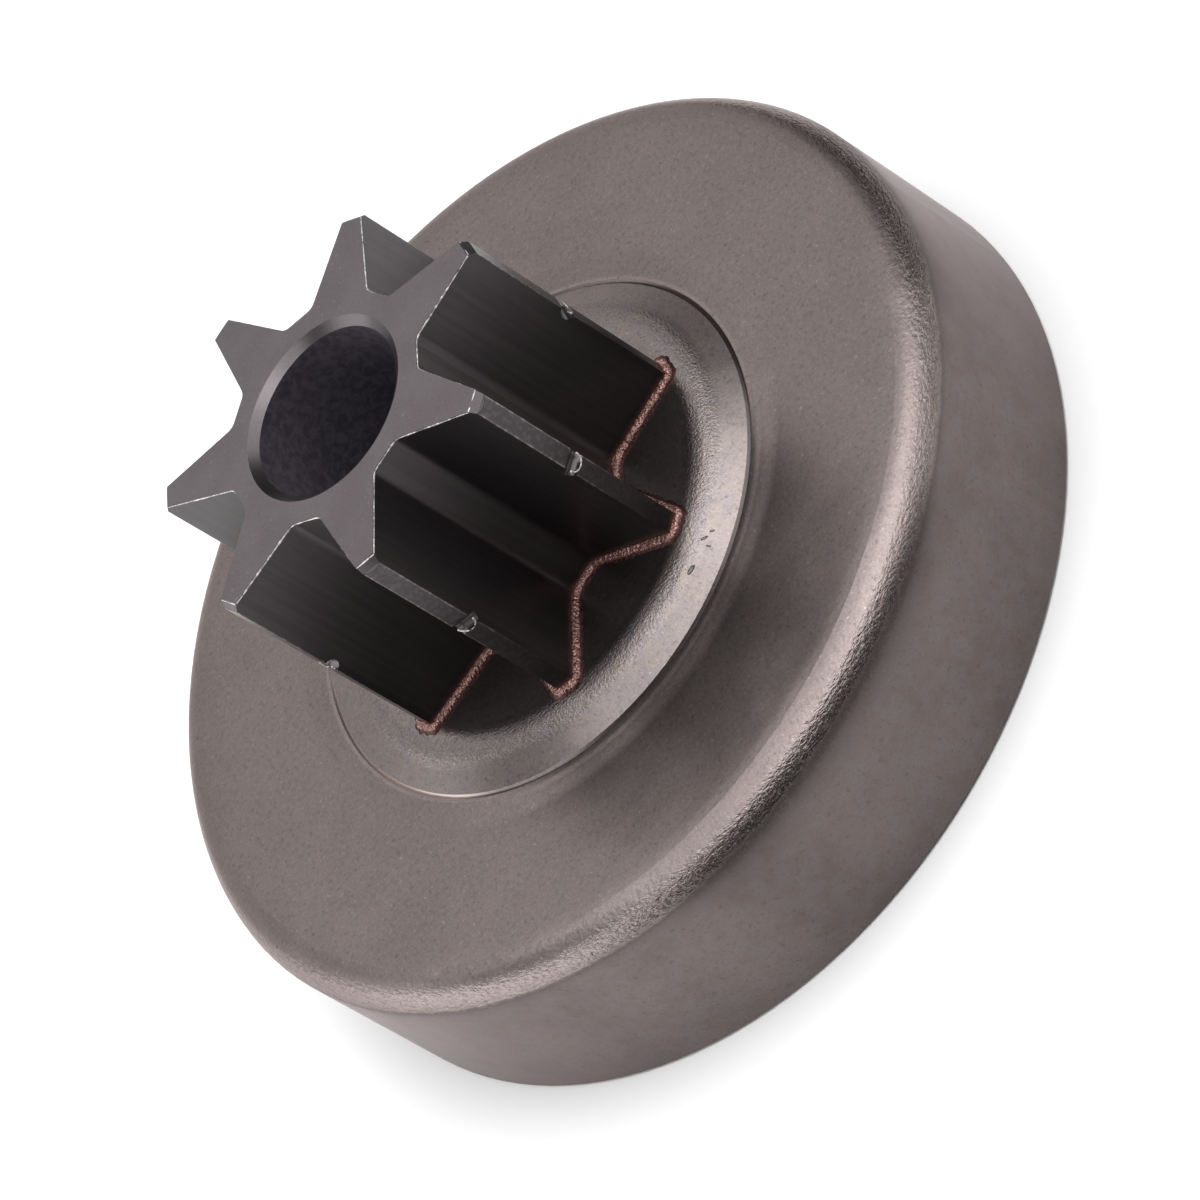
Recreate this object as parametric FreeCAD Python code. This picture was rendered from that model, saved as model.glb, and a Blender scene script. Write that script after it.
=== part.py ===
import FreeCAD, Part
import math
import os

# Chainsaw clutch drum: a pressed steel cup with a seven-tooth spur sprocket brazed on its face.
# The axis is +Z towards the sprocket's nose. The origin is the centre of the cup's open rim.
# Lengths are in millimetres and angles in degrees.

# Cup
rim_diameter = 77.5            # outside of the turned side wall at the open rim
wall_thickness = 3.15          # at the rim; the inside is the lining, where the clutch shoes run
wall_draw = 0.15               # the turned wall draws in this much on its way up to the corner
corner_proud = 0.15            # the pressed corner would stand this much proud of the crease
corner_radius = 3.0            # outside radius between wall and face
sheet_thickness = 3.0          # thickness of the face
inner_bevel = 1.5              # bevel between the lining and the underside of the face
rim_break = 0.3                # chamfer on both edges of the rim

# Raised boss in the middle of the cup's face
boss_top_height = 18.5         # flat top of the boss above the rim plane
boss_stand = 1.45              # from the face up to the boss's flat top
boss_margin = 5.0              # from the tooth tips out to the foot of the boss
boss_slope = 22.0              # slope of the boss's flank
boss_top_round = 4.5           # radius between the flank and the flat top
foot_line_width = 0.36         # thin coined line round the foot of the boss
foot_line_depth = 0.14

# Sprocket
tooth_count = 7
tip_diameter = 33.4
land_width = 1.56              # width of a tooth's outer land
flank_angle = 15.5             # slope of each flank against the tooth's middle line
root_wall = 2.55               # metal between the bore and the flat bottom of a gap
root_round = 1.0               # radius between a gap's bottom and its flanks
tooth_length = 22.4            # from the boss to the nose
nose_break_radial = 0.53       # chamfer at the nose end of the lands
nose_break_axial = 0.61
bore_diameter = 14.0           # seat for the needle cage
bore_break_radial = 0.73       # chamfer at the bore's mouth
bore_break_axial = 0.56
bore_end_break = 0.4           # chamfer at the bore's inner end
land_groove_height = 11.5      # turned groove across the lands, above the boss
land_groove_width = 1.3
land_groove_depth = 0.6

# Spigot under the teeth, which goes through the cup
spigot_wall = 2.3              # metal between the bore and the outside of the spigot
spigot_play = 0.05             # radial gap in the cup's hole, filled by the braze in the real drum
spigot_reach = 0.7             # how far the spigot stands out inside the cup
spigot_break = 0.3

# Braze
bead_width = 0.6               # how far the outer bead spreads from the teeth
bead_height = 0.4
bead_bevel = 0.25              # bevel on the bead's outer edge
bead_tip_round = 0.75          # the bead runs round the tooth tips in a curve
bead_root_round = 1.9          # and pools in the bottoms of the gaps
ring_width = 1.1               # fillet ring round the spigot inside the cup
ring_height = 0.6

# Two rounded corners on one straight side each take at most this share of it.
largest_round_share = 0.49

wall_foot_radius = rim_diameter / 2
wall_top_radius = wall_foot_radius - wall_draw
lining_radius = wall_foot_radius - wall_thickness
face_height = boss_top_height - boss_stand
corner_centre_radius = wall_top_radius + corner_proud - corner_radius
corner_centre_height = face_height - corner_radius
tip_radius = tip_diameter / 2
bore_radius = bore_diameter / 2
root_distance = bore_radius + root_wall
boss_foot_radius = tip_radius + boss_margin
spigot_radius = bore_radius + spigot_wall
hole_radius = spigot_radius + spigot_play
face_under_height = face_height - sheet_thickness
boss_under_height = boss_top_height - sheet_thickness
spigot_end_height = boss_under_height - spigot_reach
nose_height = boss_top_height + tooth_length
half_pitch = 180.0 / tooth_count


def at(radius, height):
    """Point of a turned profile, drawn in the x-y plane with x as radius and y as height."""
    return FreeCAD.Vector(radius, height, 0)


def direction(angle):
    """Unit vector in the x-y plane at an angle from the x axis."""
    return FreeCAD.Vector(math.cos(math.radians(angle)), math.sin(math.radians(angle)), 0)


def crossing(first, first_angle, second, second_angle):
    """Where the line through one point at one angle meets the line through another."""
    along = direction(first_angle)
    across = direction(second_angle + 90)
    reach = (second - first).dot(across) / along.dot(across)
    return first + along * reach


def shifted(point, angle, distance):
    """The point moved by a distance at right angles to a line of this angle, to its right."""
    return point + direction(angle - 90) * distance


def round_corner(before, corner, after, radius):
    """Ends and middle of the arc that rounds a corner, as far as its two straight sides leave room."""
    longest_tangent = min((before - corner).Length, (after - corner).Length) * largest_round_share
    to_before = (before - corner).normalize()
    to_after = (after - corner).normalize()
    half_angle = to_before.getAngle(to_after) / 2
    tangent_length = min(radius / math.tan(half_angle), longest_tangent)
    held_radius = tangent_length * math.tan(half_angle)
    bisector = (to_before + to_after).normalize()
    centre = corner + bisector * (held_radius / math.sin(half_angle))
    start = corner + to_before * tangent_length
    end = corner + to_after * tangent_length
    return start, centre - bisector * held_radius, end


def wire_through(start, steps):
    """Closed wire from a start point. A step is the next point, or the middle and end of an arc."""
    edges = []
    here = start
    for step in list(steps) + [start]:
        if isinstance(step, tuple):
            middle, there = step
            edges.append(Part.Arc(here, middle, there).toShape())
        else:
            there = step
            edges.append(Part.LineSegment(here, there).toShape())
        here = there
    return Part.Wire(edges)


def rounded_outline(corners):
    """Closed wire through (point, radius) corners, each one rounded with its radius."""
    steps = []
    for index, (corner, radius) in enumerate(corners):
        before = corners[index - 1][0]
        after = corners[(index + 1) % len(corners)][0]
        start, middle, end = round_corner(before, corner, after, radius)
        steps += [start, (middle, end)]
    return wire_through(steps[0], steps[1:])


def turned(wire):
    """Solid turned round the Z axis from a wire drawn with x as radius and y as height."""
    upright = wire.copy()
    upright.rotate(FreeCAD.Vector(0, 0, 0), FreeCAD.Vector(1, 0, 0), 90)
    return Part.Face(upright).revolve(FreeCAD.Vector(0, 0, 0), FreeCAD.Vector(0, 0, 1), 360)


def drum_cup():
    """Cup with the turned wall, the pressed corner, the flat face and the raised boss."""
    # The pressed corner starts at a faint crease where the turned wall meets it.
    crease_angle = math.degrees(math.acos((wall_top_radius - corner_centre_radius) / corner_radius))
    corner_centre = at(corner_centre_radius, corner_centre_height)
    crease = corner_centre + direction(crease_angle) * corner_radius
    corner_middle = corner_centre + direction((crease_angle + 90) / 2) * corner_radius
    face_edge = at(corner_centre_radius, face_height)

    # The foot of the boss is where its flank would meet the face.
    foot = at(boss_foot_radius, face_height)
    flank_top = crossing(foot, -boss_slope, at(0, boss_top_height), 0)
    line_bottom = foot - at(0, foot_line_depth)
    line_outside = foot + at(foot_line_width / 2, 0)
    line_inside = crossing(foot - at(foot_line_width / 2, 0), 90, foot, -boss_slope)

    # The underside follows the face at the sheet's thickness.
    flank_under = shifted(foot, -boss_slope, sheet_thickness)
    foot_under = crossing(at(0, face_under_height), 0, flank_under, -boss_slope)
    flank_under_top = crossing(flank_under, -boss_slope, at(0, boss_under_height), 0)

    hole_top = at(hole_radius, boss_top_height)
    boss_start, boss_middle, boss_end = round_corner(line_inside, flank_top, hole_top, boss_top_round)

    return turned(wire_through(at(wall_foot_radius - rim_break, 0), [
        at(wall_foot_radius, rim_break),
        crease,
        (corner_middle, face_edge),
        line_outside,
        line_bottom,
        line_inside,
        boss_start,
        (boss_middle, boss_end),
        hole_top,
        at(hole_radius, boss_under_height),
        flank_under_top,
        foot_under,
        at(lining_radius - inner_bevel, face_under_height),
        at(lining_radius, face_under_height - inner_bevel),
        at(lining_radius, rim_break),
        at(lining_radius + rim_break, 0),
    ]))


def flank_corners(outset):
    """Corners of a gap's outline in its own frame, x along the gap's middle line.

    The flanks are moved into the gap by the outset. Returns the flank's outer end and its foot on
    the side of positive y.
    """
    tooth_axis = direction(half_pitch)
    land_edge = tooth_axis * tip_radius + direction(half_pitch - 90) * (land_width / 2)
    slope = half_pitch + flank_angle
    flank = shifted(land_edge, slope, outset)
    outer = crossing(flank, slope, tooth_axis * (tip_radius + outset), half_pitch - 90)
    foot = crossing(flank, slope, at(root_distance + outset, 0), 90)
    return outer, foot


def mirrored(point):
    return FreeCAD.Vector(point.x, -point.y, point.z)


def gap_cutters():
    """One prism for each gap between teeth, open to the outside."""
    foot = flank_corners(0)[1]
    clear = crossing(foot, half_pitch + flank_angle, at(tip_diameter, 0), 90)
    foot_start, foot_middle, foot_end = round_corner(mirrored(foot), foot, clear, root_round)
    outline = wire_through(foot_start, [
        (foot_middle, foot_end),
        clear,
        mirrored(clear),
        mirrored(foot_end),
        (mirrored(foot_middle), mirrored(foot_start)),
    ])
    prism = Part.Face(outline).extrude(FreeCAD.Vector(0, 0, tooth_length + bead_height))
    prism.translate(FreeCAD.Vector(0, 0, boss_top_height))
    cutters = []
    for number in range(tooth_count):
        cutter = prism.copy()
        cutter.rotate(FreeCAD.Vector(0, 0, 0), FreeCAD.Vector(0, 0, 1), half_pitch * (2 * number + 1))
        cutters.append(cutter)
    return cutters


def turned_blank():
    """Sprocket before its gaps are cut: nose, lands with their groove, shoulder, spigot and bore."""
    groove_height = boss_top_height + land_groove_height
    groove_low = at(tip_radius, groove_height - land_groove_width / 2)
    groove_bottom = at(tip_radius - land_groove_depth, groove_height)
    groove_high = at(tip_radius, groove_height + land_groove_width / 2)
    return turned(wire_through(groove_high, [
        (groove_bottom, groove_low),
        at(tip_radius, boss_top_height),
        at(spigot_radius, boss_top_height),
        at(spigot_radius, spigot_end_height + spigot_break),
        at(spigot_radius - spigot_break, spigot_end_height),
        at(bore_radius + bore_end_break, spigot_end_height),
        at(bore_radius, spigot_end_height + bore_end_break),
        at(bore_radius, nose_height - bore_break_axial),
        at(bore_radius + bore_break_radial, nose_height),
        at(tip_radius - nose_break_radial, nose_height),
        at(tip_radius, nose_height - nose_break_axial),
    ]))


def spur_sprocket():
    return turned_blank().cut(gap_cutters())


def outer_braze_bead():
    """Bead along the foot of the teeth, rounded over the tips and pooled in the gaps."""
    outer, foot = flank_corners(bead_width)
    one_gap = (
        (mirrored(outer), bead_tip_round),
        (mirrored(foot), bead_root_round),
        (foot, bead_root_round),
        (outer, bead_tip_round),
    )
    corners = []
    for number in range(tooth_count):
        turn = FreeCAD.Rotation(FreeCAD.Vector(0, 0, 1), half_pitch * (2 * number + 1))
        for point, radius in one_gap:
            corners.append((turn.multVec(point), radius))
    plate = Part.Face(rounded_outline(corners)).extrude(FreeCAD.Vector(0, 0, bead_height))
    upper_edges = [edge for edge in plate.Edges if edge.BoundBox.ZMin > bead_height / 2]
    plate = plate.makeChamfer(bead_bevel, upper_edges)
    plate.translate(FreeCAD.Vector(0, 0, boss_top_height))
    teeth = Part.makeCylinder(tip_radius, bead_height, FreeCAD.Vector(0, 0, boss_top_height))
    return plate.cut(teeth.cut(gap_cutters()))


def inner_braze_ring():
    """Fillet ring in the corner between the spigot and the underside of the boss."""
    corner = at(spigot_radius, boss_under_height)
    return turned(wire_through(corner, [
        corner + at(ring_width, 0),
        corner - at(0, ring_height),
    ]))


os.makedirs("parts", exist_ok=True)
pieces = (
    ("drum_cup", drum_cup),
    ("spur_sprocket", spur_sprocket),
    ("outer_braze_bead", outer_braze_bead),
    ("inner_braze_ring", inner_braze_ring),
)
for name, make in pieces:
    shape = make()
    shape.exportStep("parts/" + name + ".step")
    print(name, "valid", shape.isValid(), "solids", len(shape.Solids), "volume", round(shape.Volume, 2), "mm3")
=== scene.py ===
import math
from types import SimpleNamespace

import bpy
import numpy as np
from mathutils import Matrix, Vector, noise


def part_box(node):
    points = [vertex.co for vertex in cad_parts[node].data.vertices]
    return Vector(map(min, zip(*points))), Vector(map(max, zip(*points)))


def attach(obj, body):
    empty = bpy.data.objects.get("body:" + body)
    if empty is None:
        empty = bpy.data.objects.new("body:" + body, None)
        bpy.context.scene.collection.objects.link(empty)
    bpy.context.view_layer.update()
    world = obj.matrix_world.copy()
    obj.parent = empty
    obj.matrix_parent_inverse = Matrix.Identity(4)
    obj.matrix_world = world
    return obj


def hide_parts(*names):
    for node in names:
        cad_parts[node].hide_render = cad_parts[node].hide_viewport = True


# Looks of a chainsaw clutch drum: a pressed steel cup with a spur sprocket brazed on its face.
# Lengths are in metres and angles in degrees. The axis is +Z towards the sprocket's nose.
# Directions round the axis are given as azimuths, from +X towards +Y.

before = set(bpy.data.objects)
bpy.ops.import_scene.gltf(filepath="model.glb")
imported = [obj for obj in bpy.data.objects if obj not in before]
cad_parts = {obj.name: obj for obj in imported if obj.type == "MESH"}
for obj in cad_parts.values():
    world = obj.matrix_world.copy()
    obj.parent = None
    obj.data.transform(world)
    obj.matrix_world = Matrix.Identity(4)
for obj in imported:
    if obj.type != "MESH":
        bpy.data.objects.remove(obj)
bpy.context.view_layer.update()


def far_corner(node):
    """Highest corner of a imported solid, without the last digits that its mesh rounds off."""
    return [round(length, 7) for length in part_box(node)[1]]


def tint(red, green, blue):
    """An opaque colour."""
    return (red, green, blue, 1.0)


MM = 0.001

# Camera, at the photograph's viewing angle
CAMERA_AZIMUTH = -73.162
CAMERA_ELEVATION = 39.588
CAMERA_ROLL = 58.807
CAMERA_AIM = Vector((2.13, -12.425, 18.5)) * MM
CAMERA_DISTANCE = 518.06 * MM
CAMERA_LENS = 206.04

# Soft lamps: azimuth, elevation, width and height as angles seen from the object, and radiance
SOFTBOXES = {
    "key": (355, 53, 60, 70, 1.74),
    "overhead": (86, 88, 50, 70, 2.24),
    "strip": (187, 21, 70, 44, 2.24),
    "back": (114, 24, 70, 61, 0.78),
}
SOFTBOX_DISTANCE = 1.2
WORLD_LIGHT = tint(0.07, 0.07, 0.07)
FLOOR_SIZE = 6.0

# Sprocket, as it is built, with the middle of one tooth at azimuth 0
TIP_RADIUS = far_corner("spur_sprocket")[0]
NOSE_HEIGHT = far_corner("spur_sprocket")[2]
TOOTH_COUNT = 7
HALF_PITCH = 180.0 / TOOTH_COUNT
LAND_WIDTH = 1.56 * MM
FLANK_ANGLE = 15.5
BORE_RADIUS = 7.0 * MM
ROOT_DISTANCE = BORE_RADIUS + 2.55 * MM
ROOT_ROUND = 1.0 * MM
SPIGOT_RADIUS = BORE_RADIUS + 2.3 * MM
NOSE_BREAK_RADIAL = 0.53 * MM
NOSE_BREAK_AXIAL = 0.61 * MM
BORE_BREAK_RADIAL = 0.73 * MM
GROOVE_HEIGHT = 30.0 * MM

# Cup, as it is built
BOSS_TOP_HEIGHT = far_corner("drum_cup")[2]
BOSS_UNDER_HEIGHT = far_corner("inner_braze_ring")[2]
BOSS_FOOT_RADIUS = TIP_RADIUS + 5.0 * MM
FACE_HEIGHT = BOSS_TOP_HEIGHT - 1.45 * MM
CORNER_INNER_RADIUS = far_corner("drum_cup")[0] - 3.0 * MM
CREASE_HEIGHT = 14.99 * MM

# Braze bead round the teeth, and ring of braze round the spigot
BEAD_WIDTH = 0.6 * MM
BEAD_HEIGHT = 0.4 * MM
BEAD_TIP_ROUND = 1.0 * MM
BEAD_ROOT_ROUND = 1.9 * MM
RING_WIDTH = 1.1 * MM
RING_HEIGHT = 0.6 * MM
TOOTH_CORNER_ROUND = 0.03 * MM

# Skin of the braze: it swells by a share of its width in long waves, under leaning grains and grit,
# which fade towards both edges, and a thin uneven film spreads from its outer edge
BEAD_STEP = 0.045 * MM
BEAD_SECTION_POINTS = 13
BEAD_SWELL = 0.06
BEAD_SWELL_SIZE = 1.2 * MM
BEAD_GRAIN = 0.075 * MM
BEAD_GRAIN_SIZE = 0.19 * MM
BEAD_GRAIN_LEAN = 0.6
BEAD_GRAIN_LENGTHEN = 0.45
BEAD_GRIT = 0.5 * BEAD_GRAIN
BEAD_GRIT_SIZE = 0.6 * BEAD_GRAIN_SIZE
BEAD_FADE = 0.125
BEAD_FILM = 0.24 * MM
BEAD_FILM_VARIATION = 0.7
BEAD_FILM_SIZE = 0.35 * MM
BEAD_FILM_HEIGHT = 0.04 * BEAD_FILM

# Burrs on the machined edges, the share and size of each wave of their unevenness, and how far
# their middle lines lie inside or outside the edges
BURR_RADIUS = 0.075 * MM
TIP_BURR_RADIUS = 0.058 * MM
BURR_STEP = 0.07 * MM
BURR_SIDES = 6
BURR_WAVES = ((0.55, 0.9 * MM), (0.35, 0.25 * MM))
BURR_LARGEST_SWELL = 1.5
BURR_INSET = 0.5 * BURR_RADIUS
BURR_DEPTH_UNDER_NOSE = 1.6 * BURR_RADIUS
TIP_BURR_OUTSET = 0.8 * BURR_RADIUS
WEAR_BURR_INSET = 0.7 * BURR_RADIUS

# Sizes of the marks painted on each land: painted shade in the notch that the drive links wear, and painted
# light with a painted shade rim on the rounded end of the nose break
WEAR_HALF_LENGTH = 0.78 * MM
WEAR_HALF_WIDTH = 0.76 * MM
BREAK_FACET_HALF_LENGTH = 0.32 * MM

# Azimuths of the cup's sides that differ in painted light and shade: a painted glint on the boss's foot line,
# painted light on the corner, and painted shade along the crease on two sides
FOOT_GLINT_SIDE = -168
LIT_SIDE = -122
DARK_SIDE = -73
SHADED_SIDE = -2

# Places on the cup and the sprocket where a finish, or a painted light or shade, fades: none at the first,
# full at the second
CRINKLE_HEIGHTS = (16.85 * MM, 16.3 * MM)
DARK_SIDE_HEIGHTS = (16.4 * MM, 15.5 * MM)
SHADED_SIDE_HEIGHTS = (17.0 * MM, 16.4 * MM)
LAND_SHADE_TO_LIGHT_HEIGHTS = (28 * MM, 34 * MM)
EDGE_HIGHLIGHT_HEIGHTS = (24 * MM, 30 * MM)

# Slight forms of the cup: the bend between the boss's top and flank, a rise round the boss's foot,
# the boss's crown and a hollow in the corner
BEND_RADII = (17.1 * MM, 19.0 * MM)
STEEP_RISE_RADII = (22.9 * MM, 22.1 * MM)
LONG_RISE_RADII = (24.6 * MM, 22.1 * MM)
CROWN_RADII = (19.6 * MM, 16.8 * MM)
HOLLOW_RADIUS = 36.45 * MM

# Pits in the boss's flank, in millimetres: centre, azimuth of the long side, and half sizes
PITS = (
    ((11.53, -15.83, 17.91), -10, (0.28, 0.1, 0.2)),
    ((9.26, -17.17, 17.94), 17, (0.4, 0.15, 0.25)),
    ((12.31, -15.76, 17.74), -26, (0.18, 0.08, 0.15)),
    ((11.38, -16.55, 17.7), -52, (0.18, 0.07, 0.15)),
)

# Colours of the cup, with two where a noise varies between them
FACE_STEEL = (tint(0.188, 0.155, 0.148), tint(0.206, 0.17, 0.162))
BOSS_STEEL = (tint(0.214, 0.183, 0.17), tint(0.205, 0.177, 0.177))
WALL_STEEL = (tint(0.114, 0.093, 0.089), tint(0.142, 0.116, 0.111))
BLUISH_PATCH = tint(0.15, 0.15, 0.16)
PAINTED_LIGHT_STEEL = tint(0.4, 0.34, 0.33)
CRINKLE_PAINTED_GLINT = tint(0.4, 0.34, 0.32)
FOOT_GLINT_PAINT = tint(0.45, 0.39, 0.37)
WIDE_CREASE_SHADE = tint(0.03, 0.024, 0.024)
CREASE_SHADE = tint(0.033, 0.027, 0.026)
RECESS_SHADE = tint(0.05, 0.042, 0.042)
SMUDGE = tint(0.1, 0.085, 0.083)
DARK_FLECK = tint(0.12, 0.1, 0.097)
LIGHT_FLECK = tint(0.34, 0.31, 0.3)
DARK_DOT = tint(0.07, 0.056, 0.055)
LIGHT_DOT = tint(0.5, 0.47, 0.45)
WARM_EDGE = tint(0.93, 0.86, 0.86)

# Colours of the sprocket
NOSE_STEEL = (tint(0.15, 0.13, 0.137), tint(0.168, 0.147, 0.153))
CHAMFER_STEEL = tint(0.115, 0.103, 0.107)
FLANK_STEEL = (tint(0.057, 0.05, 0.052), tint(0.067, 0.059, 0.061))
LAND_SHADED_TO_LIT = (tint(0.046, 0.041, 0.042), tint(0.066, 0.059, 0.061))
BORE_STEEL = (tint(0.087, 0.075, 0.096), tint(0.143, 0.125, 0.152))
LAND_SCUFF = tint(0.11, 0.1, 0.102)
LAND_EDGE_HIGHLIGHT = tint(0.28, 0.26, 0.26)
BREAK_FACET_LIGHT = tint(0.105, 0.095, 0.098)
BREAK_FACET_RIM_SHADE = tint(0.02, 0.017, 0.018)
WEAR_NOTCH_SHADE = tint(0.03, 0.027, 0.028)
BRAZE_STAIN = tint(0.13, 0.045, 0.038)
BORE_SPECK = tint(0.04, 0.03, 0.03)
SPROCKET_FLECK = tint(0.05, 0.045, 0.046)
BRIGHT_NICK = tint(0.45, 0.42, 0.42)

# Colours of the burrs, the braze and the floor
BURR_STEEL = (tint(0.3, 0.27, 0.27), tint(0.85, 0.8, 0.79))
BRAZE_COPPER = (tint(0.1, 0.038, 0.033), tint(0.43, 0.255, 0.225))
BRAZE_LOWS = tint(0.075, 0.032, 0.028)
PAPER = (tint(0.93, 0.93, 0.93), tint(0.94, 0.94, 0.94))


def polar(azimuth, elevation):
    """Unit vector towards an azimuth and an elevation."""
    around, up = math.radians(azimuth), math.radians(elevation)
    return Vector((math.cos(up) * math.cos(around), math.cos(up) * math.sin(around), math.sin(up)))


def add_camera():
    """Camera of the photograph, turned about its own line of sight."""
    camera = bpy.data.objects.new("camera", bpy.data.cameras.new("camera"))
    bpy.context.scene.collection.objects.link(camera)
    back = polar(CAMERA_AZIMUTH, CAMERA_ELEVATION)
    upright = back.to_track_quat("Z", "Y").to_matrix()
    turn = Matrix.Rotation(math.radians(-CAMERA_ROLL), 3, "Z")
    camera.matrix_world = Matrix.LocRotScale(CAMERA_AIM + back * CAMERA_DISTANCE, upright @ turn, None)
    camera.data.lens = CAMERA_LENS
    bpy.context.scene.camera = camera


def add_softbox(name, azimuth, elevation, width, height, radiance):
    """Area lamp that faces the object and covers the given angles as seen from it."""
    lamp = bpy.data.objects.new(name, bpy.data.lights.new(name, "AREA"))
    bpy.context.scene.collection.objects.link(lamp)
    back = polar(azimuth, elevation)
    lamp.matrix_world = Matrix.LocRotScale(back * SOFTBOX_DISTANCE, back.to_track_quat("Z", "Y"), None)
    lamp.data.shape = "RECTANGLE"
    lamp.data.size = 2 * SOFTBOX_DISTANCE * math.tan(math.radians(width / 2))
    lamp.data.size_y = 2 * SOFTBOX_DISTANCE * math.tan(math.radians(height / 2))
    lamp.data.energy = radiance * math.pi * lamp.data.size * lamp.data.size_y
    lamp.visible_camera = False


def add_lighting():
    """Soft lamps and a dim, even surrounding light."""
    for name, placing in SOFTBOXES.items():
        add_softbox(name, *placing)
    world = bpy.data.worlds.new("world")
    world.use_nodes = True
    world.node_tree.nodes["Background"].inputs["Color"].default_value = WORLD_LIGHT
    bpy.context.scene.world = world


class Shading:
    """A material's node tree. Inputs may be numbers, colours or the outputs of other nodes."""

    def __init__(self, name):
        self.material = bpy.data.materials.new(name)
        self.material.use_nodes = True
        self.tree = self.material.node_tree
        self.surface = self.tree.nodes["Principled BSDF"]
        self.position = self.add("ShaderNodeTexCoord").outputs["Object"]
        self.height = self.part(self.position, "Z")
        self.radius = self.length(self.vector("MULTIPLY", self.position, (1, 1, 0)))
        self.colour = None

    def add(self, kind, inputs=None, **settings):
        """New node with these settings and with its inputs fed."""
        node = self.tree.nodes.new(kind)
        for name, value in settings.items():
            setattr(node, name, value)
        for name, value in (inputs or {}).items():
            self.feed(node.inputs[name], value)
        return node

    def feed(self, socket, value):
        """Links an output to a socket, or sets the socket to a plain value."""
        if isinstance(value, bpy.types.NodeSocket):
            self.tree.links.new(value, socket)
        else:
            socket.default_value = value

    def math(self, operation, first, second=0.0):
        return self.add("ShaderNodeMath", {0: first, 1: second}, operation=operation).outputs[0]

    def vector(self, operation, first, second):
        return self.add("ShaderNodeVectorMath", {0: first, 1: second}, operation=operation).outputs[0]

    def length(self, vector):
        return self.add("ShaderNodeVectorMath", {0: vector}, operation="LENGTH").outputs["Value"]

    def part(self, vector, axis):
        return self.add("ShaderNodeSeparateXYZ", {0: vector}).outputs[axis]

    def fold(self, operation, values):
        """One number from several, by the same operation from the first to the last."""
        total = values[0]
        for value in values[1:]:
            total = self.math(operation, total, value)
        return total

    def product(self, *values):
        """Of shares, this is the share where all of them meet."""
        return self.fold("MULTIPLY", values)

    def largest(self, *values):
        return self.fold("MAXIMUM", values)

    def total(self, *values):
        return self.fold("ADD", values)

    def past(self, value, start):
        """How far a value is past a start."""
        return self.math("SUBTRACT", value, start)

    def rest(self, share):
        """What a share leaves of 1."""
        return self.math("SUBTRACT", 1.0, share)

    def distance(self, first, second):
        """Distance from the origin of a point with these two coordinates."""
        return self.math("SQRT", self.total(self.product(first, first), self.product(second, second)))

    def ramp(self, value, low, high, at_low=0.0, at_high=1.0):
        """Smooth step of a value: at_low up to low, at_high from high on."""
        inputs = {"Value": value, "From Min": low, "From Max": high, "To Min": at_low, "To Max": at_high}
        node = self.add("ShaderNodeMapRange", inputs, interpolation_type="SMOOTHSTEP")
        return node.outputs["Result"]

    def band(self, value, low, high, soft):
        """1 between low and high, 0 outside, with soft edges."""
        return self.product(self.ramp(value, low - soft, low), self.ramp(value, high, high + soft, 1.0, 0.0))

    def hump(self, value, centre, width):
        """Bell curve: 1 at the centre, fading to 0 on both sides."""
        away = self.math("DIVIDE", self.past(value, centre), width)
        return self.math("POWER", math.e, self.product(away, away, -1.0))

    def pit(self, centre, azimuth, half_sizes):
        """1 inside an ellipsoid whose long side points to an azimuth, with a soft edge."""
        inputs = {"Vector": self.position, "Location": Vector(centre) * MM,
                  "Rotation": (0, 0, math.radians(azimuth)), "Scale": Vector(half_sizes) * MM}
        local = self.add("ShaderNodeMapping", inputs, vector_type="TEXTURE").outputs["Vector"]
        return self.ramp(self.length(local), 0.7, 1.25, 1.0, 0.0)

    def side(self, azimuth, full, none):
        """1 round this azimuth, up to the angle full away from it, and 0 from the angle none on."""
        inputs = {0: self.position, 1: polar(azimuth, 0)}
        reach = self.add("ShaderNodeVectorMath", inputs, operation="DOT_PRODUCT").outputs["Value"]
        toward = self.math("DIVIDE", reach, self.radius)
        return self.ramp(toward, math.cos(math.radians(none)), math.cos(math.radians(full)))

    def azimuth(self):
        """Angle round the axis, in radians."""
        return self.math("ARCTAN2", self.part(self.position, "Y"), self.part(self.position, "X"))

    def grain(self, size, detail=2.0, roughness=0.5, stretch=(1, 1, 1), distortion=0.0, place=None):
        """Noise from 0 to 1 whose grains have this size, stretched along the axes."""
        squeezed = self.vector("DIVIDE", place or self.position, stretch)
        inputs = {"Vector": squeezed, "Scale": 1 / size, "Detail": detail, "Roughness": roughness,
                  "Distortion": distortion}
        return self.add("ShaderNodeTexNoise", inputs).outputs["Fac"]

    def blend(self, share, first, second):
        """Colour between two colours."""
        node = self.add("ShaderNodeMix", {0: share, 6: first, 7: second}, data_type="RGBA")
        return node.outputs[2]

    def mix(self, share, first, second):
        """Number between two numbers."""
        return self.add("ShaderNodeMix", {0: share, 2: first, 3: second}).outputs[0]

    def paint(self, share, colour):
        """Lays a colour over what is painted so far."""
        self.colour = self.blend(share, self.colour, colour)

    def relief(self, *heights):
        """Bump from heights in metres, added up."""
        bump = self.add("ShaderNodeBump", {"Height": self.total(*heights), "Distance": 1.0, "Strength": 1.0})
        self.feed(self.surface.inputs["Normal"], bump.outputs["Normal"])

    def set(self, **values):
        """Sets or links the shader's own sockets."""
        for name, value in values.items():
            self.feed(self.surface.inputs[name.replace("_", " ")], value)


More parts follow.
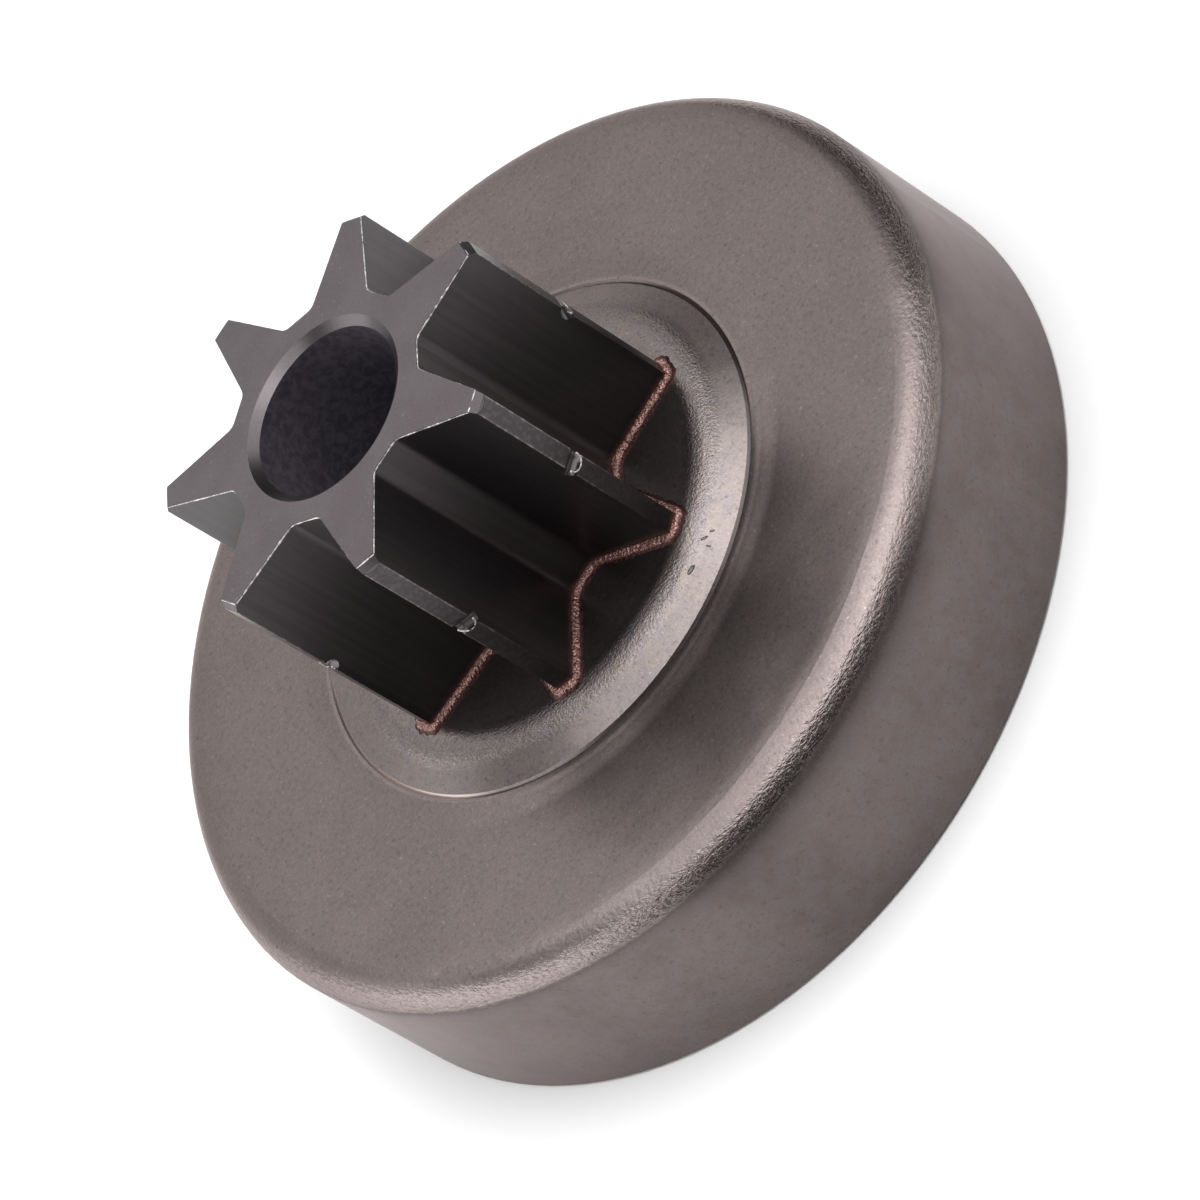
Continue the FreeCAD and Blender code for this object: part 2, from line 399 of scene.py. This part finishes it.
def cup_zones(steel):
    """Shares from 0 to 1 that say where each region of the cup lies."""
    outside = steel.ramp(steel.radius, CORNER_INNER_RADIUS - 0.5 * MM, CORNER_INNER_RADIUS + 0.9 * MM)
    wander = steel.product(steel.past(steel.grain(0.9 * MM), 0.5), 0.35 * MM)
    level = steel.total(steel.height, wander)
    above = steel.ramp(level, CREASE_HEIGHT - 0.05 * MM, CREASE_HEIGHT + 0.25 * MM)
    corner = steel.product(outside, above)
    crease = steel.band(level, CREASE_HEIGHT - 0.1 * MM, CREASE_HEIGHT, 0.35 * MM)
    bend = steel.band(steel.radius, *BEND_RADII, 0.9 * MM)
    top = steel.ramp(steel.height, FACE_HEIGHT - 0.5 * MM, FACE_HEIGHT - 0.4 * MM)
    foot = steel.band(steel.radius, BOSS_FOOT_RADIUS - 0.14 * MM, BOSS_FOOT_RADIUS + 0.14 * MM, 0.08 * MM)
    lip = steel.band(steel.radius, BOSS_FOOT_RADIUS + 0.28 * MM, BOSS_FOOT_RADIUS + 0.42 * MM, 0.1 * MM)
    boss = steel.ramp(steel.radius, BOSS_FOOT_RADIUS + 0.1 * MM, BOSS_FOOT_RADIUS - 0.3 * MM)
    return SimpleNamespace(
        outside=outside,
        corner=corner,
        crinkled=steel.product(corner, steel.ramp(steel.height, *CRINKLE_HEIGHTS)),
        crease=steel.product(outside, crease),
        wall=steel.product(outside, steel.rest(above)),
        top=top,
        foot=steel.product(top, foot),
        lip=steel.product(top, lip),
        boss=steel.product(top, boss),
        bend=steel.product(bend, steel.ramp(steel.height, FACE_HEIGHT, FACE_HEIGHT + 0.5 * MM)),
        pits=steel.largest(*(steel.pit(*place) for place in PITS)),
    )


def paint_cup_steel(steel, zones):
    """Clouded steel of face, boss and wall, with a painted highlight on the lip, a painted glint over the
    crinkles, painted light on one side of the corner, and a wall that is darker partly as painted shade.
    """
    clouds = steel.ramp(steel.grain(7 * MM, detail=4.0), 0.3, 0.7)
    patches = steel.ramp(steel.grain(1.3 * MM, detail=3.0), 0.35, 0.65)
    steel.colour = steel.blend(clouds, *FACE_STEEL)
    steel.paint(zones.boss, steel.blend(patches, *BOSS_STEEL))
    # Darker steel on the wall, partly its smoother finish and partly painted shade
    steel.paint(zones.wall, steel.blend(clouds, *WALL_STEEL))
    steel.paint(steel.product(patches, steel.mix(zones.wall, 0.1, 0.22)), BLUISH_PATCH)
    # Painted highlight on the lip just outside the boss's foot line
    steel.paint(steel.product(zones.lip, 0.2), PAINTED_LIGHT_STEEL)
    # Painted glint over the crinkled corner
    steel.paint(steel.product(zones.crinkled, 0.12), CRINKLE_PAINTED_GLINT)
    # Painted light on one side of the corner and the wall
    lit_side = steel.side(LIT_SIDE, 12, 32)
    steel.paint(steel.product(zones.outside, lit_side, steel.mix(zones.corner, 0.08, 0.25)), PAINTED_LIGHT_STEEL)


def paint_crease_shade(steel, zones, dark_side):
    """Painted shade: a dark band along the crease, wider and deeper on two sides of the cup."""
    shaded_side = steel.side(SHADED_SIDE, 12, 22)
    shade_sides = steel.largest(
        steel.product(dark_side, steel.ramp(steel.height, *DARK_SIDE_HEIGHTS, 0.0, 0.5)),
        steel.product(shaded_side, steel.ramp(steel.height, *SHADED_SIDE_HEIGHTS, 0.0, 0.6)),
    )
    # Wide painted shade below the crease, on the dark side and the shaded side
    wide = steel.hump(steel.height, CREASE_HEIGHT - 0.2 * MM, 2.2 * MM)
    steel.paint(steel.product(zones.outside, wide, shade_sides), WIDE_CREASE_SHADE)
    narrow = steel.hump(steel.height, CREASE_HEIGHT - 0.05 * MM, 0.75 * MM)
    steel.paint(steel.product(zones.outside, narrow, steel.mix(dark_side, 0.12, 0.85)), CREASE_SHADE)


def paint_cup_specks(steel, zones, fleck):
    """Smudges, flecks and dots, fewer of the light ones on the wall."""
    smudge = steel.grain(0.5 * MM, detail=3.0)
    steel.paint(steel.ramp(smudge, 0.5, 0.68, 0.0, 0.25), SMUDGE)
    steel.paint(steel.product(steel.ramp(fleck, 0.54, 0.7), steel.mix(zones.bend, 0.28, 0.7)), DARK_FLECK)
    steel.paint(steel.product(steel.ramp(fleck, 0.44, 0.3), steel.mix(zones.wall, 0.2, 0.06)), LIGHT_FLECK)
    dots = steel.grain(0.34 * MM, detail=0.0)
    steel.paint(steel.ramp(dots, 0.68, 0.8, 0.0, 0.32), DARK_DOT)
    steel.paint(steel.product(steel.ramp(dots, 0.24, 0.18), steel.mix(zones.wall, 0.2, 0.0)), LIGHT_DOT)


def paint_recess_shade(steel, zones, dark_side):
    """Painted shade in the crease, the pits and the boss's foot line, and a painted glint in its place on one
    side of the foot line.
    """
    foot_glint_side = steel.side(FOOT_GLINT_SIDE, 26, 41)
    # Painted glint on the boss's foot line on one side
    steel.paint(steel.product(zones.foot, foot_glint_side), FOOT_GLINT_PAINT)
    # Painted shade in the crease, the foot line and the pits
    shaded_crease = steel.product(zones.crease, steel.mix(dark_side, 0.2, 0.35))
    shaded_foot = steel.product(zones.foot, steel.mix(foot_glint_side, 0.45, 0.0))
    steel.paint(steel.largest(shaded_crease, shaded_foot, steel.product(zones.pits, 0.7)), RECESS_SHADE)


def corner_crinkle(steel, zones):
    """Height of the crinkles that the pressed corner has, drawn out round the cup."""
    around = steel.total(steel.product(steel.azimuth(), CORNER_INNER_RADIUS), steel.height)
    wrapped = steel.add("ShaderNodeCombineXYZ", {0: around, 1: steel.radius, 2: steel.height}).outputs[0]
    grain = steel.grain(0.24 * MM, roughness=0.6, stretch=(2, 1, 1), place=wrapped)
    return steel.product(grain, steel.mix(zones.crinkled, 0.0, 0.12 * MM))


def crease_forms(steel, zones):
    """Heights by the crease: a hollow in the corner, a cusp along the crease and a shoulder on the wall."""
    upper = steel.ramp(steel.height, CREASE_HEIGHT - 0.6 * MM, CREASE_HEIGHT - 0.1 * MM)
    hollow = steel.product(steel.hump(steel.radius, HOLLOW_RADIUS, 1.1 * MM), -0.075 * MM)
    away = steel.math("DIVIDE", steel.math("ABSOLUTE", steel.past(steel.height, CREASE_HEIGHT)), 0.8 * MM)
    near = steel.largest(steel.rest(away), 0.0)
    cusp = steel.product(near, near, zones.outside, -0.03 * MM)
    inputs = {"Value": steel.height, "From Min": CREASE_HEIGHT - 2.6 * MM, "From Max": CREASE_HEIGHT}
    climb = steel.add("ShaderNodeMapRange", inputs).outputs["Result"]
    shoulder = steel.product(steel.rest(steel.math("POWER", climb, 3.0)), zones.outside, 0.1 * MM)
    return steel.product(upper, hollow), cusp, shoulder


def boss_forms(steel, zones):
    """Heights on the face: two rises towards the boss's foot, the boss's crown and its pits."""
    steep_rise = steel.product(steel.ramp(steel.radius, *STEEP_RISE_RADII), 0.03 * MM)
    long_rise = steel.product(steel.ramp(steel.radius, *LONG_RISE_RADII), 0.13 * MM)
    crown = steel.product(steel.ramp(steel.radius, *CROWN_RADII), 0.06 * MM)
    raised = steel.product(zones.top, steel.total(steep_rise, long_rise, crown))
    return raised, steel.product(zones.pits, -0.06 * MM)


def cup_steel():
    """Pressed and tumbled steel: fine grain on the face, a crinkled corner and a smoother, darker wall."""
    steel = Shading("cup_steel")
    zones = cup_zones(steel)
    dark_side = steel.side(DARK_SIDE, 17, 31)
    fleck = steel.grain(0.16 * MM, detail=1.0)
    paint_cup_steel(steel, zones)
    paint_crease_shade(steel, zones, dark_side)
    paint_cup_specks(steel, zones, fleck)
    paint_recess_shade(steel, zones, dark_side)

    fine = steel.product(fleck, steel.mix(zones.wall, 0.005 * MM, 0.002 * MM))
    waves = steel.product(steel.grain(5 * MM, detail=1.0), 0.06 * MM)
    peel = steel.product(steel.grain(0.42 * MM), steel.mix(zones.corner, 0.0, 0.02 * MM))
    ripple = steel.product(steel.grain(0.22 * MM, roughness=0.6), steel.mix(zones.bend, 0.0, 0.045 * MM))
    steel.relief(fine, waves, peel, ripple, corner_crinkle(steel, zones), *crease_forms(steel, zones),
                 *boss_forms(steel, zones))
    steel.set(Base_Color=steel.colour, Metallic=1.0, Roughness=0.32, Specular_Tint=WARM_EDGE)
    return steel.material


def sprocket_zones(steel):
    """Shares from 0 to 1 that say where each region of the sprocket lies."""
    facing = steel.part(steel.add("ShaderNodeTexCoord").outputs["Normal"], "Z")
    side = steel.ramp(facing, 0.25, 0.5, 1.0, 0.0)
    bore = steel.ramp(steel.radius, BORE_RADIUS + 0.1 * MM, BORE_RADIUS + 0.3 * MM, 1.0, 0.0)
    land = steel.product(side, steel.ramp(steel.radius, TIP_RADIUS - 0.8 * MM, TIP_RADIUS - 0.4 * MM))
    flat = steel.product(side, steel.ramp(steel.radius, TIP_RADIUS - 0.1 * MM, TIP_RADIUS - 0.03 * MM))

    # Place on a land, with the wear notch's half width as the unit across it
    pitches = steel.product(steel.azimuth(), TOOTH_COUNT / (2 * math.pi))
    offset = steel.past(pitches, steel.math("ROUND", pitches))
    across = steel.product(offset, math.radians(2 * HALF_PITCH) * TIP_RADIUS / WEAR_HALF_WIDTH)
    along = steel.math("DIVIDE", steel.past(steel.height, GROOVE_HEIGHT), WEAR_HALF_LENGTH)
    below = steel.math("DIVIDE", steel.past(steel.height, NOSE_HEIGHT - NOSE_BREAK_AXIAL), BREAK_FACET_HALF_LENGTH)
    break_facet = steel.distance(across, below)

    stain_edge = steel.total(steel.height, steel.product(steel.grain(0.5 * MM), 0.5 * MM))
    stain = steel.ramp(stain_edge, BOSS_TOP_HEIGHT + 1.1 * MM, BOSS_TOP_HEIGHT + 0.6 * MM)
    return SimpleNamespace(
        nose=steel.ramp(facing, 0.85, 0.95),
        side=side,
        bore=steel.product(side, bore),
        land=land,
        flat=flat,
        flat_edge=steel.product(flat, steel.ramp(steel.math("ABSOLUTE", across), 0.86, 0.95)),
        wear_notch=steel.product(land, steel.ramp(steel.distance(across, along), 0.9, 1.05, 1.0, 0.0)),
        break_facet=steel.product(flat, steel.ramp(break_facet, 1.05, 0.95)),
        break_facet_rim=steel.product(flat, steel.band(break_facet, 0.95, 1.02, 0.12)),
        stain=steel.product(side, stain),
    )


def paint_lands(steel, zones):
    """Dark lands with painted shade low down that gives way to painted light upwards, scuffs, a painted
    highlight along the land edges, and painted light with a painted shade rim on the rounded end of the nose
    break.
    """
    # Painted shade on the lower lands, giving way to painted light upwards
    upper = steel.ramp(steel.height, *LAND_SHADE_TO_LIGHT_HEIGHTS)
    steel.paint(zones.land, steel.blend(upper, *LAND_SHADED_TO_LIT))
    scuffs = steel.ramp(steel.grain(0.4 * MM, detail=3.0), 0.45, 0.65)
    steel.paint(steel.product(zones.flat, scuffs, steel.mix(upper, 0.2, 0.5)), LAND_SCUFF)
    # Painted highlight along the land edges, broken up by the scuffs
    edge_highlight = steel.product(steel.mix(scuffs, 0.25, 0.8), steel.ramp(steel.height, *EDGE_HIGHLIGHT_HEIGHTS))
    steel.paint(steel.product(zones.flat_edge, edge_highlight), LAND_EDGE_HIGHLIGHT)
    # Painted light on the rounded end of the nose break, with a painted shade rim
    steel.paint(zones.break_facet, BREAK_FACET_LIGHT)
    steel.paint(steel.product(zones.break_facet_rim, 0.7), BREAK_FACET_RIM_SHADE)


def paint_bore(steel, zones):
    """Mottled bore with dark specks."""
    mottle = steel.ramp(steel.grain(0.7 * MM, detail=4.0, distortion=0.6), 0.35, 0.65)
    steel.paint(zones.bore, steel.blend(mottle, *BORE_STEEL))
    specks = steel.ramp(steel.grain(0.45 * MM, detail=3.0, roughness=0.7), 0.6, 0.68)
    steel.paint(steel.product(zones.bore, specks, 0.45), BORE_SPECK)


def sprocket_steel():
    """Machined steel: a light nose, darker lands and flanks, a dark bore, and painted shade in the worn notch
    on each land.
    """
    steel = Shading("sprocket_steel")
    zones = sprocket_zones(steel)
    clouds = steel.ramp(steel.grain(4 * MM, detail=4.0), 0.3, 0.7)
    drawn = steel.ramp(steel.grain(0.45 * MM, detail=3.0, stretch=(1, 1, 30)), 0.35, 0.65)
    steel.colour = steel.blend(zones.nose, CHAMFER_STEEL, steel.blend(clouds, *NOSE_STEEL))
    steel.paint(zones.side, steel.blend(drawn, *FLANK_STEEL))
    paint_lands(steel, zones)
    steel.paint(steel.product(zones.stain, 0.8), BRAZE_STAIN)
    # Painted shade in the notch that the drive links wear in each land
    steel.paint(zones.wear_notch, WEAR_NOTCH_SHADE)
    paint_bore(steel, zones)
    fleck = steel.grain(0.15 * MM, detail=1.0)
    steel.paint(steel.ramp(fleck, 0.56, 0.72, 0.0, 0.25), SPROCKET_FLECK)
    nicks = steel.ramp(steel.grain(0.35 * MM, detail=0.0), 0.76, 0.82, 0.0, 0.15)
    steel.paint(steel.product(nicks, zones.nose), BRIGHT_NICK)

    fine = steel.product(fleck, 0.004 * MM)
    streaks = steel.grain(0.12 * MM, stretch=(12, 1, 12))
    steel.relief(fine, steel.product(streaks, steel.mix(zones.nose, 0.0, 0.003 * MM)))
    sides = steel.mix(zones.side, 1.0, steel.mix(zones.stain, 0.85, 0.4))
    steel.set(Base_Color=steel.colour, Metallic=steel.mix(zones.bore, sides, 0.45),
              Roughness=steel.mix(zones.bore, 0.3, 0.55))
    return steel.material


def burr_steel():
    """Bright torn edges."""
    steel = Shading("burr_steel")
    clouds = steel.ramp(steel.grain(0.3 * MM, detail=3.0), 0.35, 0.65)
    steel.set(Base_Color=steel.blend(clouds, *BURR_STEEL), Metallic=0.6, Roughness=0.4)
    return steel.material


def braze_copper():
    """Copper-coloured braze with a granular skin: pinkish grains above, dark red-brown in the lows."""
    braze = Shading("braze_copper")
    grains = braze.ramp(braze.grain(0.12 * MM), 0.38, 0.66)
    braze.colour = braze.blend(grains, *BRAZE_COPPER)
    low = braze.ramp(braze.height, BOSS_TOP_HEIGHT + 0.02 * MM, BOSS_TOP_HEIGHT + 0.18 * MM, 0.9, 0.0)
    braze.paint(low, BRAZE_LOWS)
    braze.relief(braze.product(braze.grain(0.09 * MM), 0.03 * MM))
    braze.set(Base_Color=braze.colour, Metallic=0.75, Roughness=0.42)
    return braze.material


def floor_paper():
    """Pale matt paper."""
    paper = Shading("floor_paper")
    shade = paper.ramp(paper.grain(30 * MM), 0.2, 0.8)
    paper.set(Base_Color=paper.blend(shade, *PAPER), Roughness=0.9, Specular_IOR_Level=0.0)
    return paper.material


def add_mesh_piece(name, points, faces, material, replaced=None):
    """Smooth mesh object that rides on the body and carries its material."""
    mesh = bpy.data.meshes.new(name)
    mesh.from_pydata([tuple(point) for point in points], [], faces)
    mesh.shade_smooth()
    mesh.materials.append(material)
    piece = bpy.data.objects.new(name, mesh)
    bpy.context.scene.collection.objects.link(piece)
    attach(piece, "root")
    if replaced:
        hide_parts(replaced)


def turned_by(point, angle):
    """A point of the x-y plane, turned about the axis."""
    cosine, sine = math.cos(math.radians(angle)), math.sin(math.radians(angle))
    return np.array((point[0] * cosine - point[1] * sine, point[0] * sine + point[1] * cosine))


def heading(angle):
    """Unit vector of the x-y plane at an azimuth."""
    return turned_by((1.0, 0.0), angle)


def mirrored(point):
    """A point of the x-y plane on the other side of the x axis."""
    return np.array((point[0], -point[1]))


def crossing(first, first_angle, second, second_angle):
    """Where the line through one point at one angle meets the line through another."""
    across = heading(second_angle + 90)
    reach = (second - first) @ across / (heading(first_angle) @ across)
    return first + heading(first_angle) * reach


def tooth_corners(outset):
    """Land edge and foot of a flank in the frame of a gap, x along the gap's middle line."""
    slope = HALF_PITCH + FLANK_ANGLE
    land_edge = heading(HALF_PITCH) * TIP_RADIUS + heading(HALF_PITCH - 90) * (LAND_WIDTH / 2)
    flank = land_edge + heading(slope - 90) * outset
    outer = crossing(flank, slope, heading(HALF_PITCH) * (TIP_RADIUS + outset), HALF_PITCH - 90)
    foot = crossing(flank, slope, np.array((ROOT_DISTANCE + outset, 0.0)), 90)
    return outer, foot


def corner_arc(before, corner, after, radius, step):
    """Points about a step apart on the arc that rounds a corner."""
    to_before = (before - corner) / np.linalg.norm(before - corner)
    to_after = (after - corner) / np.linalg.norm(after - corner)
    half_angle = math.acos(to_before @ to_after) / 2
    bisector = (to_before + to_after) / np.linalg.norm(to_before + to_after)
    centre = corner + bisector * (radius / math.sin(half_angle))
    swing = math.pi / 2 - half_angle
    arc_steps = max(2, round(2 * swing * radius / step))
    side = np.sign(to_before[0] * to_after[1] - to_before[1] * to_after[0])
    points = []
    for number in range(arc_steps + 1):
        angle = swing * (2 * number / arc_steps - 1)
        points.append(centre - turned_by(bisector, math.degrees(-side * angle)) * radius)
    return points


def rounded_points(corners, step, closed=True):
    """Evenly spaced points along straight sides whose corners are rounded with their radii."""
    path = []
    count = len(corners)
    for index, (corner, radius) in enumerate(corners):
        if closed or 0 < index < count - 1:
            path += corner_arc(corners[index - 1][0], corner, corners[(index + 1) % count][0], radius, step)
        else:
            path.append(corner)
    if closed:
        path.append(path[0])
    path = np.array(path)
    lengths = np.concatenate(([0.0], np.cumsum(np.linalg.norm(np.diff(path, axis=0), axis=1))))
    steps = max(2, round(lengths[-1] / step))
    stations = np.linspace(0, lengths[-1], steps + 1)
    points = np.stack([np.interp(stations, lengths, path[:, axis]) for axis in (0, 1)], 1)
    return points[:-1] if closed else points


def sprocket_outline(outset, tip_round, root_round, step):
    """Closed outline round all teeth at a distance outside them."""
    outer, foot = tooth_corners(outset)
    gap = ((mirrored(outer), tip_round), (mirrored(foot), root_round), (foot, root_round), (outer, tip_round))
    corners = []
    for number in range(TOOTH_COUNT):
        turn = HALF_PITCH * (2 * number + 1)
        corners += [(turned_by(point, turn), radius) for point, radius in gap]
    return rounded_points(corners, step)


def grainy(point, size):
    """Noise from -1 to 1 whose grains have this size."""
    return noise.noise(Vector(point) / size)


def bead_section(index, near, far, height):
    """Points round the bead's section at one place: over its top, out to the film's edge and back."""
    width = np.linalg.norm(far - near)
    out = (far - near) / width
    swell = BEAD_SWELL * width * grainy((*far, 0.0), BEAD_SWELL_SIZE)
    section = []
    for number in range(BEAD_SECTION_POINTS):
        share = number / (BEAD_SECTION_POINTS - 1)
        reach, rise = math.sin(math.pi / 2 * share), math.cos(math.pi / 2 * share)
        spot = np.array((*(near + out * width * reach), height * rise))
        across = width * share
        leaning = (index * BEAD_STEP + BEAD_GRAIN_LEAN * across, BEAD_GRAIN_LENGTHEN * across, 0.0)
        grain = BEAD_GRAIN * grainy(leaning, BEAD_GRAIN_SIZE)
        grit = BEAD_GRIT * grainy(spot, BEAD_GRIT_SIZE)
        fading = min(1.0, min(share, 1 - share) / BEAD_FADE)
        section.append(spot + np.array((*(out * reach), rise)) * (swell + grain + grit) * fading)
    film = BEAD_FILM * (1 + BEAD_FILM_VARIATION * grainy((*far, 0.0), BEAD_FILM_SIZE))
    section.append(np.array((*(far + out * film), BEAD_FILM_HEIGHT)))
    section.append(np.array((*near, 0.0)))
    return section


def add_bead_mesh(name, inner, outer, base_height, height, upwards, material, replaced):
    """Braze bead between an inner and an outer outline, with a rounded granular skin."""
    points = []
    for index, (near, far) in enumerate(zip(inner, outer)):
        for spot in bead_section(index, near, far, height):
            points.append((spot[0], spot[1], base_height + upwards * spot[2]))
    count = len(inner)
    ring = len(points) // count
    faces = []
    for index in range(count):
        here, there = index * ring, (index + 1) % count * ring
        for number in range(ring):
            beside = (number + 1) % ring
            face = (here + number, there + number, there + beside, here + beside)
            faces.append(face if upwards > 0 else face[::-1])
    add_mesh_piece(name, points, faces, material, replaced)


def nearest_points(outline, targets):
    """For each target the nearest point of a densely sampled outline."""
    gaps = np.linalg.norm(targets[:, None, :] - outline[None, :, :], axis=2)
    return outline[gaps.argmin(axis=1)]


def add_outer_bead(material):
    """Bead that follows the teeth where they stand on the boss."""
    inner = sprocket_outline(0.0, TOOTH_CORNER_ROUND, ROOT_ROUND, BEAD_STEP / 2)
    outer = sprocket_outline(BEAD_WIDTH, BEAD_TIP_ROUND, BEAD_ROOT_ROUND, BEAD_STEP)
    near = nearest_points(inner, outer)
    add_bead_mesh("braze_bead", near, outer, BOSS_TOP_HEIGHT, BEAD_HEIGHT, 1, material, "outer_braze_bead")


def add_inner_ring(material):
    """Ring round the spigot where it comes out inside the cup."""
    count = round(2 * math.pi * SPIGOT_RADIUS / (2 * BEAD_STEP))
    rays = np.array([heading(360 * number / count) for number in range(count)])
    add_bead_mesh("braze_ring", rays * SPIGOT_RADIUS, rays * (SPIGOT_RADIUS + RING_WIDTH), BOSS_UNDER_HEIGHT,
                  RING_HEIGHT, -1, material, "inner_braze_ring")


def tube(points, radius, closed):
    """Vertices and faces of a thin uneven tube along points."""
    points = np.array(points)
    count = len(points)
    vertices, faces = [], []
    for index, point in enumerate(points):
        before = points[index - 1] if closed or index else point
        after = points[(index + 1) % count] if closed or index < count - 1 else point
        along = Vector(after - before).normalized()
        side = along.cross(Vector((0, 0, 1)))
        if side.length < 1e-6:
            side = Vector((1, 0, 0))
        side.normalize()
        over = side.cross(along)
        swell = 1 + sum(share * grainy(point, size) for share, size in BURR_WAVES)
        thickness = radius * min(swell, BURR_LARGEST_SWELL)
        for number in range(BURR_SIDES):
            angle = 2 * math.pi * number / BURR_SIDES
            spot = Vector(point) + (side * math.cos(angle) + over * math.sin(angle)) * thickness
            vertices.append(tuple(spot))
    for index in range(count if closed else count - 1):
        here, there = index * BURR_SIDES, (index + 1) % count * BURR_SIDES
        for number in range(BURR_SIDES):
            beside = (number + 1) % BURR_SIDES
            faces.append((here + number, there + number, there + beside, here + beside))
    if not closed:
        last = (count - 1) * BURR_SIDES
        faces.append(tuple(range(BURR_SIDES)))
        faces.append(tuple(last + number for number in reversed(range(BURR_SIDES))))
    return vertices, faces


def nose_edge_lines(height):
    """Burr lines round the nose: the edge of each gap, and each tooth tip between two gaps."""
    outer, foot = tooth_corners(-BURR_INSET)
    break_end = outer + (foot - outer) * (NOSE_BREAK_RADIAL / np.linalg.norm(foot - outer))
    corners = [(mirrored(break_end), 0), (mirrored(foot), ROOT_ROUND), (foot, ROOT_ROUND), (break_end, 0)]
    gap = rounded_points(corners, BURR_STEP, closed=False)
    lines = []
    for number in range(TOOTH_COUNT):
        turn = HALF_PITCH * (2 * number + 1)
        lines.append(([(*turned_by(point, turn), height) for point in gap], False, BURR_RADIUS))
        start, end = turned_by(gap[-1], turn), turned_by(gap[0], turn + 2 * HALF_PITCH)
        out = heading(turn + HALF_PITCH) * TIP_BURR_OUTSET
        steps = round(np.linalg.norm(end - start) / BURR_STEP)
        tip = [start + (end - start) * index / steps + out for index in range(steps + 1)]
        lines.append(([(*point, height) for point in tip], False, TIP_BURR_RADIUS))
    return lines


def bore_mouth_line(height):
    """Burr line round the outer edge of the bore's chamfer."""
    radius = BORE_RADIUS + BORE_BREAK_RADIAL + BURR_INSET
    count = round(2 * math.pi * radius / BURR_STEP)
    return [(*(heading(360 * index / count) * radius), height) for index in range(count)], True, BURR_RADIUS


def wear_rim_lines():
    """Burr lines along the lower rim of the wear mark on each land."""
    steps = round(math.pi * WEAR_HALF_LENGTH / BURR_STEP)
    lines = []
    for tooth in range(TOOTH_COUNT):
        rim = []
        for index in range(steps + 1):
            angle = math.pi * (index / steps - 1)
            turn = 2 * HALF_PITCH * tooth + math.degrees(WEAR_HALF_WIDTH * math.cos(angle) / TIP_RADIUS)
            level = GROOVE_HEIGHT + WEAR_HALF_LENGTH * math.sin(angle)
            rim.append((*(heading(turn) * (TIP_RADIUS - WEAR_BURR_INSET)), level))
        lines.append((rim, False, BURR_RADIUS))
    return lines


def add_edge_burrs(material):
    """Thin uneven burrs on the nose's edges, the bore's mouth and the wear marks."""
    height = NOSE_HEIGHT - BURR_DEPTH_UNDER_NOSE
    vertices, faces = [], []
    for points, closed, radius in (*nose_edge_lines(height), bore_mouth_line(height), *wear_rim_lines()):
        new_vertices, new_faces = tube(points, radius, closed)
        faces += [tuple(corner + len(vertices) for corner in face) for face in new_faces]
        vertices += new_vertices
    add_mesh_piece("edge_burrs", vertices, faces, material)


def add_floor():
    """Pale floor plane."""
    bpy.ops.mesh.primitive_plane_add(size=FLOOR_SIZE)
    floor = bpy.context.object
    floor.name = "floor"
    floor.data.materials.append(floor_paper())


def dress(node, material):
    """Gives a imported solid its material."""
    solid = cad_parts[node]
    solid.data.materials.clear()
    solid.data.materials.append(material)


add_camera()
add_lighting()
add_floor()
copper = braze_copper()
dress("drum_cup", cup_steel())
dress("spur_sprocket", sprocket_steel())
add_outer_bead(copper)
add_inner_ring(copper)
add_edge_burrs(burr_steel())

bpy.context.scene.view_settings.view_transform = "Standard"
